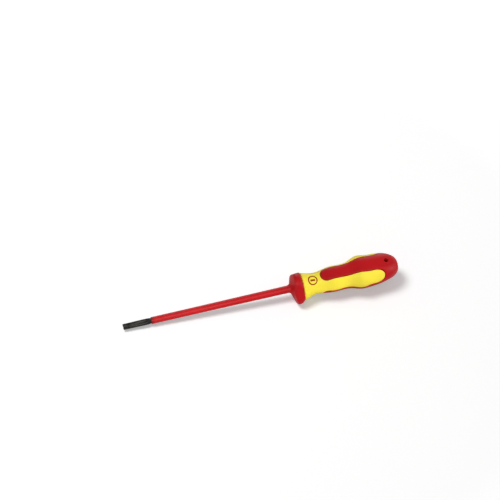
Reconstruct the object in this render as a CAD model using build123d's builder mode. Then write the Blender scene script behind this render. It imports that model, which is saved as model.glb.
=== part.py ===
from build123d import *
import os
from math import cos, hypot, radians, sin

# Insulated slotted screwdriver, 5.5 x 150, lying on its side.
# Millimetres, +Z up. The blade's tip points along -X and the handle's end along +X.
# The tool is drawn about the X axis, halfway along it at X = 0, and lifted at the end
# so that its fullest lobe rests on Z = 0.

# Blade
blade_length = 150.0  # tip to the guard's nose
tip_width = 5.5
tip_thickness = 1.0
bar_diameter = 4.8
tip_parallel = 2.5  # the length at the tip that keeps its thickness
flat_length = 20.5
flat_root_thickness = 1.9
runout_length = 5.0  # from the flat to the full round bar
tail_depth = 62.0  # how far the bar reaches into the handle
tail_chamfer = 0.6
wing_span = 8.6
wing_thickness = 2.2
wing_length = 11.0
wing_from_tail = 7.0
wing_ramp = 2.5  # the sloped length at each end of a wing
press_relief = 0.4  # how far the press still marks the bar where the flat runs out

# Sleeve
bare_length = 25.0  # steel left bare at the tip
sleeve_front_diameter = 6.1
sleeve_middle_diameter = 6.25
sleeve_root_diameter = 6.8
sleeve_middle_from_front = 55.0
sleeve_lip = 0.35
sleeve_depth = 24.0  # how far the sleeve reaches into the handle

# Guard
guard_length = 10.4
guard_corner_radius = 15.3
guard_flat_radius = 12.3  # at its rear
guard_flat_taper = 0.066  # about as much as the resting tool dips, so a side lies flat
guard_nose_radius = 4.4
guard_cone_depth = 3.9  # how far the cone falls back between nose and corner
guard_front_radius = 2.6
guard_turn_run, guard_turn_corner_radius = 2.0, 14.7  # where its corners turn inwards
guard_rear_run = 4.2  # the rear part that narrows towards the grip
guard_rear_corner_radius = 12.9
guard_rear_radius = 0.8
nose_collar = 1.2
collar_wall = 0.45
nose_sweep = 0.9  # where the collar's sweep meets the cone

# Handle: the run of each station from the one before, its radii over tongue and lobe, and
# how far the border between them stands out
neck_tongue_radius, neck_lobe_radius, neck_ridge = 13.0, 11.6, 0.0
flare_run, flare_tongue_radius, flare_lobe_radius, flare_ridge = 5.6, 11.2, 10.3, 0.1
waist_run, waist_tongue_radius, waist_lobe_radius, waist_ridge = 7.5, 9.8, 9.2, 0.2
rise_run, rise_tongue_radius, rise_lobe_radius, rise_ridge = 6.5, 10.6, 10.1, 0.4
swell_run, swell_tongue_radius, swell_lobe_radius, swell_ridge = 8.0, 11.4, 11.4, 0.55
dip_run, dip_tongue_radius, dip_lobe_radius, dip_ridge = 9.5, 11.2, 11.1, 0.55
step_run, step_tongue_radius, step_lobe_radius, step_ridge = 7.0, 11.9, 12.3, 0.5
crest_run, crest_tongue_radius, crest_lobe_radius, crest_ridge = 7.5, 14.0, 15.2, 0.35
palm_run, palm_tongue_radius, palm_lobe_radius, palm_ridge = 7.5, 14.1, 14.5, 0.35
heel_run, heel_tongue_radius, heel_lobe_radius, heel_ridge = 12.0, 12.8, 13.5, 0.35
shoulder_run, shoulder_tongue_radius, shoulder_lobe_radius, shoulder_ridge = 6.0, 11.3, 12.3, 0.25
crown_run, crown_tongue_radius, crown_lobe_radius = 5.0, 9.5, 10.1
brow_run, brow_tongue_radius, brow_lobe_radius = 3.5, 6.7, 7.2
end_run, end_radius = 1.5, 4.4
end_edge_radius = 1.5
grip_front_edge = 0.5

# Tongues and lobes
grip_wall = 2.6
tongue_nose_at = 27.3
tongue_half_width = 5.9
tongue_crest_half_width = 7.0
tongue_palm_half_width = 7.65
tongue_heel_half_width = 7.5
lobe_end_from_end = 14.1
lobe_end_length = 8.4  # length of the round end of each yellow lobe
groove_width = 0.35

# Hanging hole
hole_diameter = 4.0
hole_from_end = 10.6
hole_edge = 0.5

# Clearances
bond_gap = 0.03  # between mouldings that are bonded to each other or to the steel

flare_at = guard_length + flare_run
waist_at = flare_at + waist_run
rise_at = waist_at + rise_run
swell_at = rise_at + swell_run
dip_at = swell_at + dip_run
step_at = dip_at + step_run
crest_at = step_at + crest_run
palm_at = crest_at + palm_run
heel_at = palm_at + heel_run
shoulder_at = heel_at + shoulder_run
crown_at = shoulder_at + crown_run
brow_at = crown_at + brow_run
handle_length = brow_at + end_run
overall_length = blade_length + handle_length
nose_x = blade_length - overall_length / 2
end_x = nose_x + handle_length
lobes = 3
section_points = 12


def across(station):
    """The plane square to the tool at a station, with the first tongue upwards."""
    return Plane(origin=(nose_x + station, 0, 0), x_dir=(0, 1, 0), z_dir=(1, 0, 0))


def three_cornered(station, over_tongue, over_lobe, ridge):
    """A smooth section that swings between tongues and lobes and stands out at their borders."""
    mean = (over_tongue + over_lobe) / 2
    swing = (over_tongue - over_lobe) / 2
    points = []
    for i in range(section_points):
        angle = radians(360 * i / section_points)
        radius = mean + swing * cos(lobes * angle) + ridge * sin(lobes * angle) ** 2
        points.append((radius * sin(angle), radius * cos(angle)))
    with BuildSketch(across(station)) as section:
        with BuildLine():
            Spline(*points, periodic=True)
        make_face()
    return section.sketch


side_plane = Plane(origin=(nose_x, 0, 0), x_dir=(1, 0, 0), z_dir=(0, -1, 0))
tip_radius = hypot(tip_width, tip_thickness) / 2
flat_end = flat_length
runout_end = flat_length + runout_length
sleeve_start = bare_length - blade_length
sleeve_bore = bar_diameter + 2 * bond_gap
collar_radius = sleeve_root_diameter / 2 + collar_wall

guard_cone_slope = (guard_corner_radius - guard_nose_radius) / guard_cone_depth
guard_rear_at = guard_length - guard_rear_run
guard_turn_at = guard_length - guard_turn_run
sweep_end_radius = guard_nose_radius + nose_sweep * guard_cone_slope

stations = (
    (guard_length, neck_tongue_radius, neck_lobe_radius, neck_ridge),
    (flare_at, flare_tongue_radius, flare_lobe_radius, flare_ridge),
    (waist_at, waist_tongue_radius, waist_lobe_radius, waist_ridge),
    (rise_at, rise_tongue_radius, rise_lobe_radius, rise_ridge),
    (swell_at, swell_tongue_radius, swell_lobe_radius, swell_ridge),
    (dip_at, dip_tongue_radius, dip_lobe_radius, dip_ridge),
    (step_at, step_tongue_radius, step_lobe_radius, step_ridge),
    (crest_at, crest_tongue_radius, crest_lobe_radius, crest_ridge),
    (palm_at, palm_tongue_radius, palm_lobe_radius, palm_ridge),
    (heel_at, heel_tongue_radius, heel_lobe_radius, heel_ridge),
    (shoulder_at, shoulder_tongue_radius, shoulder_lobe_radius, shoulder_ridge),
    (crown_at, crown_tongue_radius, crown_lobe_radius, 0),
    (brow_at, brow_tongue_radius, brow_lobe_radius, 0),
    (handle_length, end_radius, end_radius, 0),
)


def handle_form(inset):
    """The handle behind its guard, sunk all over by inset."""
    sections = []
    for station, over_tongue, over_lobe, ridge in stations:
        sections.append(three_cornered(station, over_tongue - inset, over_lobe - inset, ridge))
    with BuildPart() as form:
        loft(sections)
    return form.part


def guard_section(station, corner_radius):
    """A triangle with round corners that point the way the tongues do."""
    flat_radius = guard_flat_radius - guard_flat_taper * (guard_length - station)
    with BuildSketch(across(station)) as section:
        RegularPolygon(flat_radius, lobes, major_radius=False, rotation=90)
        fillet(section.vertices(), radius=2 * flat_radius - corner_radius)
    return section.sketch


def tongue_plane(number):
    """The plane through the tool's axis that faces a tongue."""
    turn = radians(360 * number / lobes)
    return Plane(origin=(nose_x, 0, 0), x_dir=(1, 0, 0), z_dir=(0, -sin(turn), cos(turn)))


def tongue_outline(number, inset):
    """A tongue seen square on: a round nose, waved sides, and a flare round the lobes' ends."""
    nose_radius = tongue_half_width - inset
    nose_centre = tongue_nose_at + tongue_half_width
    lobe_end = handle_length - lobe_end_from_end + inset
    heel_start = lobe_end - lobe_end_length
    heel_half_width = tongue_heel_half_width - inset
    lobe_middle = heel_lobe_radius * sin(radians(180 / lobes)) - inset
    beyond = guard_corner_radius * 2
    with BuildSketch(tongue_plane(number)) as outline:
        with BuildLine():
            CenterArc((nose_centre, 0), nose_radius, 90, 90)
            Spline(
                (nose_centre, nose_radius),
                (dip_at, tongue_half_width - inset),
                (crest_at, tongue_crest_half_width - inset),
                (palm_at, tongue_palm_half_width - inset),
                (heel_start, heel_half_width),
                tangents=((1, 0), (1, 0)),
            )
            EllipticalCenterArc(
                (heel_start, lobe_middle),
                lobe_end_length,
                lobe_middle - heel_half_width,
                start_angle=270,
                arc_size=90,
            )
            Polyline(
                (lobe_end, lobe_middle),
                (lobe_end, beyond),
                (handle_length + beyond, beyond),
                (handle_length + beyond, 0),
                (nose_centre - nose_radius, 0),
            )
        make_face()
        mirror(about=Plane.XZ)
    return outline.sketch


def wing_outline(gap):
    """The tail's two forged wings, seen from above, with a gap all round."""
    start = tail_depth - wing_from_tail - wing_length - gap
    end = tail_depth - wing_from_tail + gap
    half = wing_span / 2 + gap
    with BuildSketch(tongue_plane(0)) as outline:
        with BuildLine():
            Polyline(
                (start, 0),
                (start, bar_diameter / 2),
                (start + wing_ramp, half),
                (end - wing_ramp, half),
                (end, bar_diameter / 2),
                (end, 0),
                (start, 0),
            )
        make_face()
        mirror(about=Plane.XZ)
    return outline.sketch


# The outer form that grip and core share
with BuildPart() as outer_form:
    add(handle_form(0))
    fillet(outer_form.edges().filter_by(Plane.YZ).sort_by(Axis.X)[-1], radius=end_edge_radius)

# Blade: a turned bar, pressed flat at its tip, with wings forged on its tail
with BuildPart() as blade:
    with BuildSketch(side_plane):
        with BuildLine():
            Polyline(
                (-blade_length, 0),
                (-blade_length, tip_radius),
                (flat_end - blade_length, tip_radius),
            )
            Spline(
                (flat_end - blade_length, tip_radius),
                (runout_end - blade_length, bar_diameter / 2),
                tangents=((1, 0), (1, 0)),
            )
            Polyline(
                (runout_end - blade_length, bar_diameter / 2),
                (tail_depth, bar_diameter / 2),
                (tail_depth, 0),
                (-blade_length, 0),
            )
        make_face()
    revolve(axis=Axis.X)
    chamfer(blade.edges().sort_by(Axis.X)[-1], length=tail_chamfer)
    with BuildSketch(side_plane):
        with BuildLine():
            Polyline(
                (-blade_length, tip_thickness / 2),
                (tip_parallel - blade_length, tip_thickness / 2),
                (flat_end - blade_length, flat_root_thickness / 2),
            )
            TangentArc(
                (flat_end - blade_length, flat_root_thickness / 2),
                (runout_end - blade_length, bar_diameter / 2 + press_relief),
                tangent=(flat_end - tip_parallel, (flat_root_thickness - tip_thickness) / 2),
            )
            Polyline(
                (runout_end - blade_length, bar_diameter / 2 + press_relief),
                (runout_end - blade_length, bar_diameter),
                (-blade_length, bar_diameter),
                (-blade_length, tip_thickness / 2),
            )
        make_face()
        mirror(about=Plane.XZ)
    extrude(amount=tip_width, both=True, mode=Mode.SUBTRACT)
    extrude(wing_outline(0), amount=wing_thickness / 2, both=True)

# Sleeve: moulded on the bar, thicker where it enters the handle
with BuildPart() as blade_sleeve:
    with BuildSketch(side_plane):
        with BuildLine():
            Polyline(
                (sleeve_start, sleeve_bore / 2),
                (sleeve_start, sleeve_front_diameter / 2 - sleeve_lip),
            )
            RadiusArc(
                (sleeve_start, sleeve_front_diameter / 2 - sleeve_lip),
                (sleeve_start + sleeve_lip, sleeve_front_diameter / 2),
                sleeve_lip,
            )
            Polyline(
                (sleeve_start + sleeve_lip, sleeve_front_diameter / 2),
                (sleeve_start + sleeve_middle_from_front, sleeve_middle_diameter / 2),
                (-nose_collar, sleeve_root_diameter / 2),
                (sleeve_depth, sleeve_root_diameter / 2),
                (sleeve_depth, sleeve_bore / 2),
                (sleeve_start, sleeve_bore / 2),
            )
        make_face()
    revolve(axis=Axis.X)

# Grip: the yellow skin with three windows for the tongues
with BuildPart() as grip:
    add(outer_form.part)
    chamfer(grip.faces().sort_by(Axis.X)[0].edges(), length=grip_front_edge)
    add(handle_form(grip_wall - bond_gap), mode=Mode.SUBTRACT)
    for number in range(lobes):
        extrude(tongue_outline(number, 0), amount=2 * guard_corner_radius, mode=Mode.SUBTRACT)

# Guard: a three-sided plate with a coned front that sweeps up from the sleeve, and a rear
# that narrows to the grip. Its flat sides keep the tool from rolling.
with BuildPart() as guard:
    loft(
        [
            guard_section(0, guard_corner_radius),
            guard_section(guard_rear_at, guard_corner_radius),
            guard_section(guard_turn_at, guard_turn_corner_radius),
            guard_section(guard_length, guard_rear_corner_radius),
        ]
    )
    with BuildSketch(side_plane):
        Polygon(
            (0, 0),
            (0, guard_nose_radius),
            (guard_length, guard_nose_radius + guard_length * guard_cone_slope),
            (guard_length, 0),
            align=None,
        )
    revolve(axis=Axis.X, mode=Mode.INTERSECT)
    fillet(guard.faces().sort_by(Axis.X)[-1].edges(), radius=guard_rear_radius)
    cone = guard.faces().filter_by(GeomType.CONE)[0]
    rim = cone.edges().filter_by(GeomType.CIRCLE, reverse=True)
    fillet(rim.filter_by(GeomType.LINE, reverse=True), radius=guard_front_radius)
    with BuildSketch(side_plane):
        with BuildLine():
            Polyline(
                (nose_sweep, 0),
                (-nose_collar, 0),
                (-nose_collar, collar_radius),
            )
            Spline(
                (-nose_collar, collar_radius),
                (nose_sweep, sweep_end_radius),
                tangents=((1, 0), (1, guard_cone_slope)),
            )
            Line(
                (nose_sweep, sweep_end_radius),
                (nose_sweep, 0),
            )
        make_face()
    revolve(axis=Axis.X)

# The room that blade and sleeve take inside the handle
with BuildPart() as blade_room:
    with BuildSketch(side_plane):
        Polygon(
            (-nose_collar, 0),
            (-nose_collar, sleeve_root_diameter / 2 + bond_gap),
            (sleeve_depth + bond_gap, sleeve_root_diameter / 2 + bond_gap),
            (sleeve_depth + bond_gap, sleeve_bore / 2),
            (tail_depth + bond_gap, sleeve_bore / 2),
            (tail_depth + bond_gap, 0),
            align=None,
        )
    revolve(axis=Axis.X)
    extrude(wing_outline(bond_gap), amount=wing_thickness / 2 + bond_gap, both=True)

# Core: the red moulding with guard, tongues and end cap
with BuildPart() as handle_core:
    for number in range(lobes):
        extrude(tongue_outline(number, groove_width), amount=2 * guard_corner_radius)
    add(handle_form(grip_wall))
    add(outer_form.part, mode=Mode.INTERSECT)
    add(guard.part)
    add(blade_room.part, mode=Mode.SUBTRACT)
    with BuildSketch(Plane.XY):
        with Locations((end_x - hole_from_end, 0)):
            Circle(hole_diameter / 2)
    extrude(amount=guard_corner_radius, both=True, mode=Mode.SUBTRACT)
    hole_wall = handle_core.faces().filter_by(GeomType.CYLINDER).sort_by(Axis.X)[-1]
    fillet(hole_wall.edges().filter_by(GeomType.BSPLINE), radius=hole_edge)

# Laid down on its fullest lobe
lift = Location((0, 0, -outer_form.part.bounding_box().min.Z))

os.makedirs("parts", exist_ok=True)
blade.part.label = "blade"
blade.part.move(lift)
export_step(blade.part, "parts/blade.step")
blade_sleeve.part.label = "blade_sleeve"
blade_sleeve.part.move(lift)
export_step(blade_sleeve.part, "parts/blade_sleeve.step")
handle_core.part.label = "handle_core"
handle_core.part.move(lift)
export_step(handle_core.part, "parts/handle_core.step")
grip.part.label = "grip"
grip.part.move(lift)
export_step(grip.part, "parts/grip.step")
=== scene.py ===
# %% [markdown]
# # An insulated slotted screwdriver
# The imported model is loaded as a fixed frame: the steel blade, its moulded sleeve, the red
# handle core and the yellow grip already have their real shape and size, in metres.
# This lesson gives each of them its finish, cuts the fine seam where the two colours meet,
# prints a mark on the neck, and adds a floor, soft light and a camera.

import math

import bmesh
import bpy
from mathutils import Matrix, Vector
from mathutils.bvhtree import BVHTree


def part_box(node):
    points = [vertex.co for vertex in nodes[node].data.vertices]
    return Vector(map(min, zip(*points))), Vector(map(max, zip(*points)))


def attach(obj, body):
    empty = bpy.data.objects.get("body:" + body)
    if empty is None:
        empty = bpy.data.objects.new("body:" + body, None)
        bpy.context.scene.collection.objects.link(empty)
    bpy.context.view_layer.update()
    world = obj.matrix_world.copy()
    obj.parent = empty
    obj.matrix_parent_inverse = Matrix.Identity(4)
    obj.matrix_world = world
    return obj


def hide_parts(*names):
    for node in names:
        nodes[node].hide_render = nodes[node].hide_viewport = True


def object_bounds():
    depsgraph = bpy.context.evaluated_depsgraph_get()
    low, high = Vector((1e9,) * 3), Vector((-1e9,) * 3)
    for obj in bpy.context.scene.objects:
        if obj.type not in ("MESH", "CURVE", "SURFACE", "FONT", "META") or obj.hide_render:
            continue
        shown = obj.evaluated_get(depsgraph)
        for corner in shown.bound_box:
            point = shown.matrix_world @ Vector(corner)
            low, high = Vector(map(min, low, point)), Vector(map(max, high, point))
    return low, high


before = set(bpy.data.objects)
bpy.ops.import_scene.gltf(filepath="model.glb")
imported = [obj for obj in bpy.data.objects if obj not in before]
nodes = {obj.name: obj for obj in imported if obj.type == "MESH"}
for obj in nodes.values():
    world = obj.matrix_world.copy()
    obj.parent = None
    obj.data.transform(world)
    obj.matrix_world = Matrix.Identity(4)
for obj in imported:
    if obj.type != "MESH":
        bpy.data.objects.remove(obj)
cad_low, cad_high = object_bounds()
print("nodes:", sorted(nodes), "size:", [round(v, 4) for v in cad_high - cad_low])

# %% [markdown]
# ## Places on the tool
# The main places are measured from the frame, so they follow the model. The tool's axis runs
# along X, as high as the middle of the round sleeve. The guard is the plate that keeps the
# fingers off the sleeve, and the grip begins right behind it.

# %% Measure the tool
millimetre = 0.001
sleeve_low, sleeve_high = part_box("blade_sleeve")
axis_height = (sleeve_low.z + sleeve_high.z) / 2
tip_x, end_x = cad_low.x, cad_high.x
sleeve_front_x = sleeve_low.x
guard_rear_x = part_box("grip")[0].x
print("axis height:", round(axis_height, 5), "guard's rear face at x:", round(guard_rear_x, 5))


def outward(place):
    """The direction square to the tool's axis that points from the axis to a place."""
    return Vector((0, place.y, place.z - axis_height)).normalized()


# %% [markdown]
# ## How a finish is wired
# A moulded surface is never one flat colour. Each material below starts from one principled
# shader, and small node helpers add a slow colour drift, a fine grain in the roughness and a
# shallow bump. All of them read object coordinates, so a pattern is fixed to its piece and
# keeps its real scale in metres.


# %% Node helpers
def new_material(name):
    """An empty node material and its principled shader."""
    material = bpy.data.materials.new(name)
    material.use_nodes = True
    tree = material.node_tree
    return material, tree, tree.nodes["Principled BSDF"]


def add_node(tree, kind, **values):
    """A node of that kind with its inputs or settings filled in."""
    node = tree.nodes.new(kind)
    for key, value in values.items():
        name = key.replace("_", " ").title()
        if name in node.inputs:
            node.inputs[name].default_value = value
        else:
            setattr(node, key, value)
    return node


def object_place(tree, stretch=(1, 1, 1), turn=0.0):
    """Object coordinates, in metres, drawn out along each axis where stretch is below 1."""
    place = add_node(tree, "ShaderNodeTexCoord")
    mapping = add_node(tree, "ShaderNodeMapping", scale=stretch, rotation=(0, 0, turn))
    tree.links.new(place.outputs["Object"], mapping.inputs["Vector"])
    return mapping.outputs["Vector"]


def place_along(tree):
    """The place along the tool's axis, in metres."""
    split = add_node(tree, "ShaderNodeSeparateXYZ")
    tree.links.new(object_place(tree), split.inputs["Vector"])
    return split.outputs["X"]


def noise(tree, waves, detail=3.0, stretch=(1, 1, 1), turn=0.0):
    """Noise with that many waves for each metre."""
    wave = add_node(tree, "ShaderNodeTexNoise", scale=waves, detail=detail)
    tree.links.new(object_place(tree, stretch, turn), wave.inputs["Vector"])
    return wave.outputs["Fac"]


def ramp(tree, value, from_low, from_high, to_low=0.0, to_high=1.0):
    """A value drawn on a straight line between two ends, and held beyond them."""
    node = add_node(
        tree, "ShaderNodeMapRange",
        from_min=from_low, from_max=from_high, to_min=to_low, to_max=to_high,
    )
    tree.links.new(value, node.inputs["Value"])
    return node.outputs["Result"]


def combine(tree, operation, first, second):
    """Two values joined by a math operation. The second may be a plain number."""
    node = add_node(tree, "ShaderNodeMath", operation=operation)
    tree.links.new(first, node.inputs[0])
    if isinstance(second, (int, float)):
        node.inputs[1].default_value = second
    else:
        tree.links.new(second, node.inputs[1])
    return node.outputs["Value"]


def blend(tree, factor, first, second):
    """A colour between two, chosen by a factor."""
    mix = add_node(tree, "ShaderNodeMix", data_type="RGBA")
    tree.links.new(factor, mix.inputs["Factor"])
    for name, colour in (("A", first), ("B", second)):
        socket = [s for s in mix.inputs if s.name == name and s.type == "RGBA"][0]
        if isinstance(colour, tuple):
            socket.default_value = (*colour, 1.0)
        else:
            tree.links.new(colour, socket)
    return [s for s in mix.outputs if s.type == "RGBA"][0]


def shade(colour, share):
    """A colour made darker, below 1, or lighter, above 1."""
    return tuple(min(1.0, part * share) for part in colour)


mask_samples = 8


def edges_of(tree, reach):
    """1 on an edge that stands out and 0 a reach away from it, for wear."""
    near = add_node(
        tree, "ShaderNodeAmbientOcclusion",
        samples=mask_samples, inside=True, only_local=True, distance=reach,
    )
    return ramp(tree, near.outputs["AO"], 0.85, 0.45)


def hollows_of(tree, reach):
    """1 down in a groove or corner and 0 in the open, for painted shade with some dirt."""
    near = add_node(
        tree, "ShaderNodeAmbientOcclusion",
        samples=mask_samples, only_local=False, distance=reach,
    )
    return ramp(tree, near.outputs["AO"], 0.9, 0.35)


def relief(tree, shader, height, depth):
    """A bump that lifts the surface by depth, in metres, where height is 1."""
    bump = add_node(tree, "ShaderNodeBump", strength=1.0, distance=depth)
    tree.links.new(height, bump.inputs["Height"])
    tree.links.new(bump.outputs["Normal"], shader.inputs["Normal"])


def set_shine(shader, level):
    """How strongly the surface mirrors the lamps, where 0.5 is a plain new plastic."""
    shader.inputs["Specular IOR Level"].default_value = level


# %% [markdown]
# ## The moulded finishes
# Handle and grip leave their moulds with a fine spark-eroded grain. Red is a hard plastic with
# a satin shine, yellow a softer and duller one. Hands polish the edges that stand out, and a
# mask lays a lighter colour over them. Another mask darkens the grooves and corners: that is
# painted shade, with some dirt that stays down in the seam.


# %% Moulded plastics
drift_waves, patch_waves, smear_waves = 45.0, 350.0, 120.0
polish_reach, polish_share = 0.8 * millimetre, 0.35
# how far and how strongly hollows are darkened: painted shade, with some dirt
shade_and_dirt_reach, shade_and_dirt_share = 0.7 * millimetre, 0.7


def moulded(name, colour, polished, shade_and_dirt_colour, shine):
    """A moulded plastic's colour, with drift, polished edges, and painted shade with some dirt
    in its hollows.
    """
    material, tree, shader = new_material(name)
    drift = ramp(tree, noise(tree, drift_waves, 4.0), 0.3, 0.7)
    body = blend(tree, drift, shade(colour, 0.90), shade(colour, 1.09))
    patchy = ramp(tree, noise(tree, patch_waves, 4.0), 0.4, 0.6, 0.15, 1.0)
    rubbed = combine(tree, "MULTIPLY", edges_of(tree, polish_reach), patchy)
    body = blend(tree, combine(tree, "MULTIPLY", rubbed, polish_share), body, polished)
    # darker down in grooves and corners: painted shade, with some dirt
    shade_and_dirt_mask = combine(tree, "MULTIPLY", hollows_of(tree, shade_and_dirt_reach), shade_and_dirt_share)
    tree.links.new(blend(tree, shade_and_dirt_mask, body, shade_and_dirt_colour), shader.inputs["Base Color"])
    set_shine(shader, shine)
    return material, tree, shader


def grained(tree, shader, roughness, grain_size, grain_depth):
    """The grain that a mould leaves, with faint smears in its shine."""
    grain = noise(tree, 1 / grain_size, 2.0)
    satin = ramp(tree, grain, 0.3, 0.7, roughness * 0.8, roughness * 1.2)
    smear = ramp(tree, noise(tree, smear_waves, 5.0, (0.4, 1, 1)), 0.35, 0.65, -0.05, 0.05)
    tree.links.new(combine(tree, "ADD", satin, smear), shader.inputs["Roughness"])
    relief(tree, shader, grain, grain_depth)


red_plastic, red_polished = (0.445, 0.005, 0.008), (0.55, 0.05, 0.05)
# this dark red paints shade, with some dirt, into the handle's hollows
red_shade_and_dirt = (0.16, 0.006, 0.004)
handle_red, tree, shader = moulded("handle_finish", red_plastic, red_polished, red_shade_and_dirt, 0.15)
grained(tree, shader, 0.46, 0.45 * millimetre, 0.05 * millimetre)

yellow_plastic, yellow_polished = (0.91, 0.75, 0.046), (0.95, 0.84, 0.20)
# this dark brown paints shade, with some dirt, into the grip's hollows
yellow_shade_and_dirt = (0.42, 0.10, 0.008)
grip_yellow, tree, shader = moulded(
    "grip_finish", yellow_plastic, yellow_polished, yellow_shade_and_dirt, 0.3
)
grained(tree, shader, 0.52, 0.35 * millimetre, 0.06 * millimetre)
print("moulded:", handle_red.name, grip_yellow.name)

# %% [markdown]
# ## The sleeve's finish
# The insulating sleeve is moulded over the blade. Its long mould leaves faint lines along the
# tool, and rubbing against screws and boxes has dulled them. It is a slightly brighter red
# without the handle's grain: its noise is drawn out along X until it becomes streaks. Dirt
# gathers on the first few millimetres behind the bare steel.

# %% The sleeve
sleeve_plastic, sleeve_polished = (0.53, 0.005, 0.008), (0.62, 0.06, 0.06)
# the first colour paints shade, with some dirt, into the sleeve's hollows; the second is dirt
# behind the steel
sleeve_shade_and_dirt, lip_soot = (0.06, 0.006, 0.004), (0.06, 0.006, 0.005)
lip_reach = 3 * millimetre
streak_waves, streak_depth = 2500.0, 0.02 * millimetre
sleeve_red, tree, shader = moulded(
    "sleeve_finish", sleeve_plastic, sleeve_polished, sleeve_shade_and_dirt, 0.2
)
lip = ramp(tree, place_along(tree), sleeve_front_x + lip_reach, sleeve_front_x)
smudged = ramp(tree, noise(tree, 700.0, 4.0), 0.25, 0.7, 0.35, 1.0)
lip_dirt = combine(tree, "MULTIPLY", lip, smudged)
clean = shader.inputs["Base Color"].links[0].from_socket
tree.links.new(blend(tree, lip_dirt, clean, lip_soot), shader.inputs["Base Color"])
streaks = noise(tree, streak_waves, 2.0, (0.02, 1, 1))
tree.links.new(ramp(tree, streaks, 0.3, 0.7, 0.34, 0.50), shader.inputs["Roughness"])
relief(tree, shader, streaks, streak_depth)
print("sleeve:", sleeve_red.name)

# %% [markdown]
# ## The blade's finish
# Only the tip of the blade is bare. The steel is blackened, which is a thin dark oxide, so it
# shines softly and shows the lines that grinding left across it. At the working end the oxide
# is worn through on the edges, and bright steel shows there.

# %% The blade
oxide, oxide_brown = (0.006, 0.006, 0.006), (0.013, 0.010, 0.008)
scratch_steel, bright_steel = (0.072, 0.068, 0.060), (0.42, 0.41, 0.39)
grinding_angle = math.radians(-14)
wear_begins_x, wear_full_x = tip_x + 6 * millimetre, tip_x + 0.3 * millimetre
tool_steel, tree, shader = new_material("steel_finish")
blotch = ramp(tree, noise(tree, 300.0, 5.0), 0.35, 0.65)
body = blend(tree, blotch, oxide, oxide_brown)
lines = noise(tree, 1400.0, 3.0, (0.08, 1, 1), grinding_angle)
body = blend(tree, ramp(tree, lines, 0.49, 0.64), body, scratch_steel)
near_tip = ramp(tree, place_along(tree), wear_begins_x, wear_full_x, 0.15, 1.0)
chipped = ramp(tree, noise(tree, 1800.0, 4.0), 0.35, 0.6)
worn = combine(tree, "MULTIPLY", edges_of(tree, 0.35 * millimetre), near_tip)
worn = combine(tree, "MULTIPLY", worn, chipped)
tree.links.new(blend(tree, worn, body, bright_steel), shader.inputs["Base Color"])
tree.links.new(ramp(tree, worn, 0.0, 1.0, 0.1, 1.0), shader.inputs["Metallic"])
ground = noise(tree, 6000.0, 2.0, (1, 0.04, 0.3))
tree.links.new(ramp(tree, ground, 0.3, 0.7, 0.34, 0.50), shader.inputs["Roughness"])
set_shine(shader, 0.14)
relief(tree, shader, ground, 0.006 * millimetre)
print("blade:", tool_steel.name)

# %% [markdown]
# ## Seam shade with dirt, and print
# Two small finishes are left: the dark brown in the seam between the colours, which is painted
# shade together with the dirt that gathers there, and the dark print on the neck. Both are
# broken up by noise, because neither is ever even.

# %% Seam shade with dirt, and print
# the groove's walls are painted this dark brown: painted shade, with some dirt
grime_and_shade_dark, grime_and_shade_light = (0.40, 0.028, 0.005), (0.52, 0.060, 0.008)
seam_shade_and_grime, tree, shader = new_material("seam_shade_and_grime")
patches = ramp(tree, noise(tree, 500.0, 4.0), 0.35, 0.65)
tree.links.new(blend(tree, patches, grime_and_shade_dark, grime_and_shade_light), shader.inputs["Base Color"])
tree.links.new(ramp(tree, patches, 0.0, 1.0, 0.65, 0.85), shader.inputs["Roughness"])
set_shine(shader, 0.2)
relief(tree, shader, patches, 0.02 * millimetre)

ink_dark, ink_light = (0.24, 0.020, 0.003), (0.34, 0.040, 0.005)
print_brown, tree, shader = new_material("print_brown")
patches = ramp(tree, noise(tree, 1500.0, 4.0), 0.4, 0.7)
tree.links.new(blend(tree, patches, ink_dark, ink_light), shader.inputs["Base Color"])
tree.links.new(ramp(tree, patches, 0.0, 1.0, 0.45, 0.65), shader.inputs["Roughness"])
set_shine(shader, 0.12)
print("small finishes:", seam_shade_and_grime.name, print_brown.name)

# %% [markdown]
# ## Blade and sleeve
# These two nodes already have the right shape, so they stay as they are and only get their
# finish in their own material slots.

# %% Finish the blade and sleeve
for name, material, slot in (
    ("blade", tool_steel, "tool_steel"),
    ("blade_sleeve", sleeve_red, "sleeve_red"),
):
    nodes[name].data.materials.clear()
    nodes[name].data.materials.append(material)
    print("finished:", name)

# %% [markdown]
# ## The seam between the colours
# The yellow is moulded round the red in a second shot, and along its whole border the mould
# leaves a narrow groove, where dirt settles. The groove is real shape: a thin tube runs along
# the yellow's rim and is cut out of both mouldings. Its walls take the tube's dark brown, which
# is painted shade together with that dirt. The rim is found on the packed mesh itself, as the
# sharp edges of the grip that look outwards.

# %% Join a node's loose triangles
merge_distance = 0.001 * millimetre


def merged_copy(name):
    """A copy of a node's mesh with its loose triangles joined."""
    mesh = bmesh.new()
    mesh.from_mesh(nodes[name].data)
    bmesh.ops.remove_doubles(mesh, verts=mesh.verts, dist=merge_distance)
    return mesh


def new_object(name, mesh, *materials):
    """An object at the origin made from a bmesh, which is freed."""
    data = bpy.data.meshes.new(name)
    mesh.to_mesh(data)
    mesh.free()
    for material in materials:
        data.materials.append(material)
    piece = bpy.data.objects.new(name, data)
    bpy.context.scene.collection.objects.link(piece)
    return piece


grip_mesh = merged_copy("grip")
core_mesh = merged_copy("handle_core")
print("faces:", len(grip_mesh.faces), "on the grip,", len(core_mesh.faces), "on the core")

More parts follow.
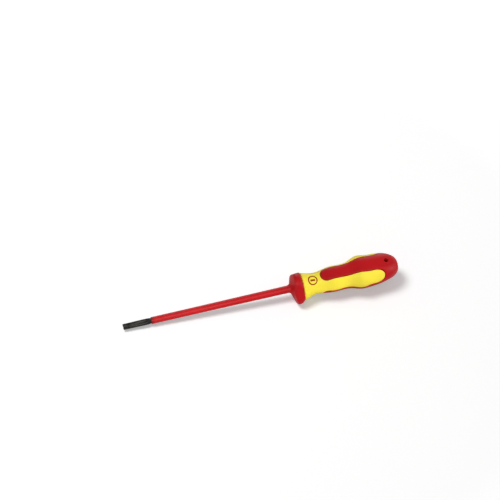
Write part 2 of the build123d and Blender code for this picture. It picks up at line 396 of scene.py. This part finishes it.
# %% Follow the rim of the yellow
rim_angle = math.radians(50)  # a sharper fold than this is a rim
rim_start_x = guard_rear_x + 2 * millimetre  # leaves out the rim that meets the guard
facing_outward = 0.7
rim = [
    edge
    for edge in grip_mesh.edges
    if edge.calc_face_angle() > rim_angle
    and min(v.co.x for v in edge.verts) > rim_start_x
    and max(f.normal.dot(outward(edge.verts[0].co)) for f in edge.link_faces) > facing_outward
]
beside = {}
for edge in rim:
    for vert, other in (edge.verts, reversed(edge.verts)):
        beside.setdefault(vert, []).append(other)
rim_line = [rim[0].verts[0], beside[rim[0].verts[0]][0]]
while True:
    ahead = [v for v in beside[rim_line[-1]] if v is not rim_line[-2]][0]
    if ahead is rim_line[0]:
        break
    rim_line.append(ahead)
print("the rim is one closed line of", len(rim_line), "points")

# %% Lay a thin tube along it
seam_radius = 0.45 * millimetre
path = bpy.data.curves.new("seam_path", "CURVE")
path.dimensions = "3D"
path.bevel_depth = seam_radius
path.bevel_resolution = 2
spline = path.splines.new("POLY")
spline.points.add(len(rim_line) - 1)
for point, vert in zip(spline.points, rim_line):
    point.co = (*vert.co, 1.0)
spline.use_cyclic_u = True
seam_curve = bpy.data.objects.new("seam_path", path)
bpy.context.scene.collection.objects.link(seam_curve)
bpy.context.view_layer.update()
tube_data = bpy.data.meshes.new_from_object(seam_curve)
tube_data.materials.append(seam_shade_and_grime)
seam_tube = bpy.data.objects.new("seam_tube", tube_data)
bpy.context.scene.collection.objects.link(seam_tube)
bpy.data.objects.remove(seam_curve)
print("tube faces:", len(tube_data.polygons))

# %% Cut the groove into both mouldings
crease = math.radians(35)


def grooved(name, node, mesh, material):
    """A moulding with the seam's tube cut out of it, which stands for its node."""
    piece = new_object(name, mesh, material)
    cut = piece.modifiers.new("seam", "BOOLEAN")
    cut.operation = "DIFFERENCE"
    cut.solver = "EXACT"
    # the cut walls take the tube's dark brown, which is painted shade with some dirt
    cut.material_mode = "TRANSFER"
    cut.object = seam_tube
    view = bpy.context.evaluated_depsgraph_get()
    cut_mesh = bpy.data.meshes.new_from_object(piece.evaluated_get(view))
    piece.modifiers.clear()
    piece.data = cut_mesh
    cut_mesh.shade_smooth()
    cut_mesh.set_sharp_from_angle(angle=crease)
    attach(piece, "root")
    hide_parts(node)
    finishes = [material.name for material in cut_mesh.materials]
    print(name, "faces:", len(cut_mesh.polygons), "finishes:", finishes)
    return piece


handle_moulding = grooved("handle_moulding", "handle_core", core_mesh, handle_red)
grip_moulding = grooved("grip_moulding", "grip", grip_mesh, grip_yellow)
bpy.data.objects.remove(seam_tube)

# %% [markdown]
# ## The mark on the neck
# A maker prints a small sign behind the guard that says which tip the tool has: here a ring
# with a bar across it, for a slotted screw. The print is a thin skin of ink. It is drawn flat,
# then wrapped round the neck like a label: a point's height on the flat drawing becomes a
# turn about the tool's axis, and the point drops from there towards the axis until it meets
# the neck.

# %% Draw the mark flat
mark_radius = 4.3 * millimetre
mark_line = 1.05 * millimetre
bar_half_length = mark_radius - 2.1 * mark_line
bar_half_width = 0.75 * mark_line
mark = bmesh.new()
for radius in (mark_radius, mark_radius - mark_line):
    bmesh.ops.create_circle(mark, cap_ends=False, segments=64, radius=radius)
bmesh.ops.bridge_loops(mark, edges=mark.edges)
bar = bmesh.ops.create_grid(mark, x_segments=8, y_segments=2, size=1.0)["verts"]
bmesh.ops.scale(mark, verts=bar, vec=(bar_half_length, bar_half_width, 1.0))
print("mark points:", len(mark.verts))

# %% Wrap it round the neck
toward_camera = Vector((-0.14, -0.525, 0.8395)).normalized()
side = Vector((0, toward_camera.y, toward_camera.z)).normalized()
mark_x = 46.0 * millimetre
mark_turn = math.radians(17)  # up round the neck, from the side that faces the camera
neck_radius = 9.9 * millimetre
ray_start = 30  # in millimetres, well outside the neck
ink_height = 0.03 * millimetre
neck = BVHTree.FromPolygons(
    [v.co for v in grip_moulding.data.vertices],
    [p.vertices for p in grip_moulding.data.polygons],
)
for vert in mark.verts:
    ray = Matrix.Rotation(-mark_turn - vert.co.y / neck_radius, 3, "X") @ side
    above = Vector((mark_x + vert.co.x, 0, axis_height)) + ray * ray_start * millimetre
    hit, normal, _, _ = neck.ray_cast(above, -ray)
    vert.co = hit + normal * ink_height
bmesh.ops.recalc_face_normals(mark, faces=mark.faces)
turned = [f for f in mark.faces if f.normal.dot(side) < 0]
bmesh.ops.reverse_faces(mark, faces=turned)
bmesh.ops.solidify(mark, geom=mark.faces[:], thickness=ink_height)
neck_mark = new_object("neck_mark", mark, print_brown)
neck_mark.data.shade_smooth()
neck_mark.data.set_sharp_from_angle(angle=crease)
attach(neck_mark, "root")
print("mark faces:", len(neck_mark.data.polygons))

# %% [markdown]
# ## Floor
# The tool lies on two things: the fullest lobe of its handle and one flat side of the guard.
# The lobe stands further out, so the real tool dips towards its tip. The frame keeps the axis
# level, so here the floor is turned by that small angle instead. The floor is white paper. To
# the camera and in reflections it also glows: a little round the tool, so that the shadow
# stays, and more further out, until the paper runs into the white world without an edge. For
# light that bounces it is a mid grey, like a studio table, so that it doesn't wash the tool
# out.

# %% Make the floor
guard_rest_x = guard_rear_x - 0.8 * millimetre
guard_flat_drop = 12.24 * millimetre
lobe_rest_x = end_x - 34.6 * millimetre
floor_gap = 0.1 * millimetre
floor_reach = 3.0  # from its middle to each side
floor_slope = (axis_height - guard_flat_drop) / (lobe_rest_x - guard_rest_x)
floor_turn = math.atan(floor_slope)
floor_mesh = bmesh.new()
bmesh.ops.create_grid(floor_mesh, x_segments=1, y_segments=1, size=floor_reach)
floor_tilt = Matrix.Rotation(floor_turn, 3, "Y")
floor_lift = floor_slope * lobe_rest_x - floor_gap
bmesh.ops.rotate(floor_mesh, verts=floor_mesh.verts, matrix=floor_tilt)
bmesh.ops.translate(floor_mesh, verts=floor_mesh.verts, vec=(0, 0, floor_lift))
floor = new_object("floor", floor_mesh)
print("floor slope in degrees:", round(math.degrees(floor_turn), 2))


# %% Paint the floor
def seen_directly(tree):
    """1 for what the camera, a reflection or glass sees, and 0 for light that bounces."""
    ray = add_node(tree, "ShaderNodeLightPath")
    seen = combine(tree, "MAXIMUM", ray.outputs["Is Camera Ray"], ray.outputs["Is Glossy Ray"])
    return combine(tree, "MAXIMUM", seen, ray.outputs["Is Transmission Ray"])


white = (1.0, 1.0, 1.0, 1.0)
floor_glow = 0.33
glow_begins, glow_full = 0.25, 0.9  # how far from the middle the glow grows to 1
paper_dark, paper_light = (0.925, 0.925, 0.925), (0.935, 0.935, 0.935)
table_grey = (0.35, 0.35, 0.35)
floor_paint, tree, shader = new_material("floor_paint")
seen = seen_directly(tree)
from_tool = add_node(tree, "ShaderNodeVectorMath", operation="LENGTH")
tree.links.new(object_place(tree), from_tool.inputs["Vector"])
glow = ramp(tree, from_tool.outputs["Value"], glow_begins, glow_full, floor_glow, 1.0)
grain = ramp(tree, noise(tree, 900.0, 3.0), 0.3, 0.7)
paper = blend(tree, grain, paper_dark, paper_light)
tree.links.new(blend(tree, seen, table_grey, paper), shader.inputs["Base Color"])
shader.inputs["Roughness"].default_value = 0.9
set_shine(shader, 0.1)
shader.inputs["Emission Color"].default_value = white
tree.links.new(combine(tree, "MULTIPLY", seen, glow), shader.inputs["Emission Strength"])
floor.data.materials.append(floor_paint)
print("floor glow:", floor_glow)

# %% [markdown]
# ## Light
# The light is a plain, even studio light in two sets. One large lamp above the tool, a little
# to its left, is linked to the floor only and gives the soft shadow. Four softboxes, on the
# left, on the right, beside the camera and behind, are linked to the tool only: they shape it
# and leave the floor's shadow alone. In a real studio every lamp lights everything. Here the
# links let each set be tuned without the other. A weak white world fills what is left, and
# shows as white to the camera.

# %% Make the world
scene = bpy.context.scene
scene.view_settings.view_transform = "Standard"
world = bpy.data.worlds.new("studio")
scene.world = world
world.use_nodes = True
world_fill = 0.22
tree = world.node_tree
back = tree.nodes["Background"]
back.inputs["Color"].default_value = white
strength = ramp(tree, seen_directly(tree), 0.0, 1.0, world_fill, 1.0)
tree.links.new(strength, back.inputs["Strength"])
print("world fill:", world_fill)

# %% Make the lamps
tool_only = bpy.data.collections.new("tool_only")
for piece in (nodes["blade"], nodes["blade_sleeve"], handle_moulding, grip_moulding, neck_mark):
    tool_only.objects.link(piece)
floor_only = bpy.data.collections.new("floor_only")
floor_only.objects.link(floor)


def soft_lamp(name, place, size, power, lit):
    """A square area lamp that faces the tool and lights one collection only."""
    data = bpy.data.lights.new(name, "AREA")
    data.shape = "SQUARE"
    data.size = size
    data.energy = power
    lamp = bpy.data.objects.new(name, data)
    lamp.location = place
    lamp.rotation_euler = (-Vector(place)).to_track_quat("-Z", "Y").to_euler()
    lamp.light_linking.receiver_collection = lit
    scene.collection.objects.link(lamp)
    print(name, "at", [round(v, 2) for v in place], power, "W")


def from_camera(sideways, lower):
    """A direction turned from the camera's towards the handle, then down towards the floor."""
    turned = toward_camera * math.cos(sideways) + Vector((math.sin(sideways), 0, 0))
    return Matrix.Rotation(lower, 3, "X") @ turned.normalized()


shadow_lamp_place = Vector((-0.33, 0.22, 0.95)) * 3
softbox_distance, softbox_size = 1.3, 0.6
soft_lamp("shadow_lamp", shadow_lamp_place, 1.1, 56.0, floor_only)
for name, sideways, lower, power in (  # two angles in degrees, and watts
    ("left_softbox", -62, 0, 6.0),
    ("right_softbox", 62, 20, 9.0),
    ("front_softbox", 3, 3, 8.6),
):
    place = from_camera(math.radians(sideways), math.radians(lower)) * softbox_distance
    soft_lamp(name, place, softbox_size, power, tool_only)
back_softbox_place = Vector((0.3, 0.95, 0.25)) * softbox_distance
soft_lamp("back_softbox", back_softbox_place, softbox_size, 4.5, tool_only)

# %% [markdown]
# ## Camera
# A long lens looks down on the tool from the front, a little from the tip's side. The tool
# rises to the right in the picture, so the camera is rolled to give its axis that angle.

# %% Make the camera
rise_in_picture = math.radians(12.8)
camera_distance = 2.2
frame_width = 0.4362  # what the picture takes in at the tool
look_upward = 0.04075  # how far above the tool's middle the camera looks
look_along = -0.0006
sensor_width = 36.0
farthest_seen = 20.0

along = Vector((1, 0, 0))
along = (along - along.dot(toward_camera) * toward_camera).normalized()
upward = toward_camera.cross(along)
right = Matrix.Rotation(-rise_in_picture, 3, toward_camera) @ along
up = toward_camera.cross(right)
look_at = Vector((0, 0, axis_height)) + upward * look_upward + along * look_along

camera_data = bpy.data.cameras.new("camera")
camera_data.sensor_width = sensor_width
camera_data.lens = sensor_width * camera_distance / frame_width
camera_data.clip_end = farthest_seen
camera = bpy.data.objects.new("camera", camera_data)
turn = Matrix((right, up, toward_camera)).transposed().to_4x4()
camera.matrix_world = Matrix.Translation(look_at + toward_camera * camera_distance) @ turn
scene.collection.objects.link(camera)
scene.camera = camera
print("lens:", round(camera_data.lens, 1), "mm")

# %% Finish
print("scene built")
